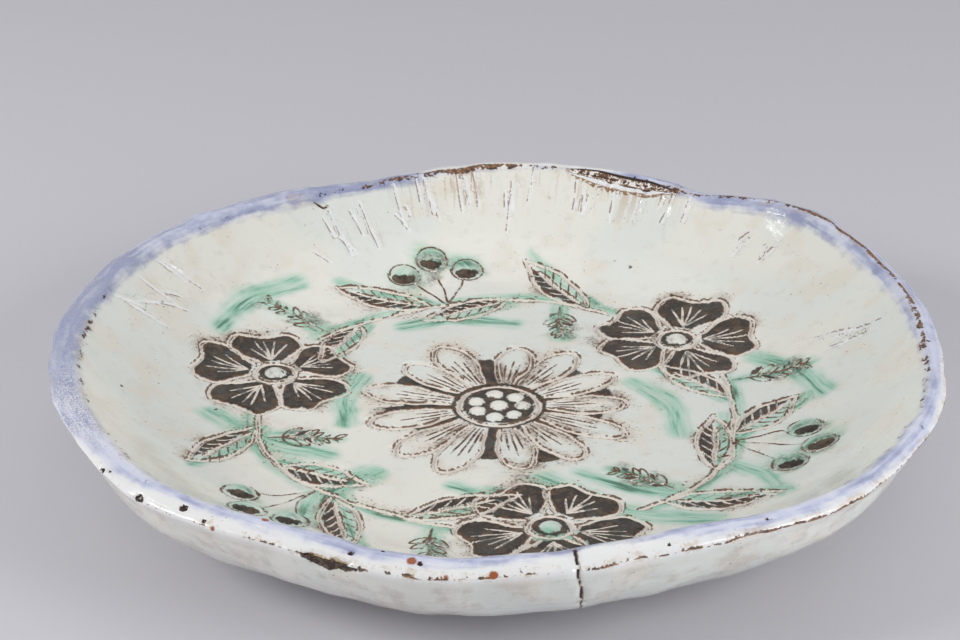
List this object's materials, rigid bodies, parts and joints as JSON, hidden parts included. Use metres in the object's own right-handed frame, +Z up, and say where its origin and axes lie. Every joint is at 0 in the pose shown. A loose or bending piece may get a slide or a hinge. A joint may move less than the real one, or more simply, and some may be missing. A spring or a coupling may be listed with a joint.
{
  "type": "decorative wall plate",
  "caption": "Round hand-built earthenware wall plate with a thick uneven rim, a low foot ring and flowers cut into its white glazed face.",
  "frame": {"origin": "middle of the plate on the plane that its foot ring stands on", "axes": "+Z up out of the plate's face, -Y towards the viewer of the picture, +X to the viewer's right"},
  "size_m": [0.3967, 0.4018, 0.0551],
  "materials": {
    "glaze": "uneven white tin glaze with lilac on the rim"
  },
  "bodies": {
    "root": {"plate": "glaze"}
  },
  "joints": []
}
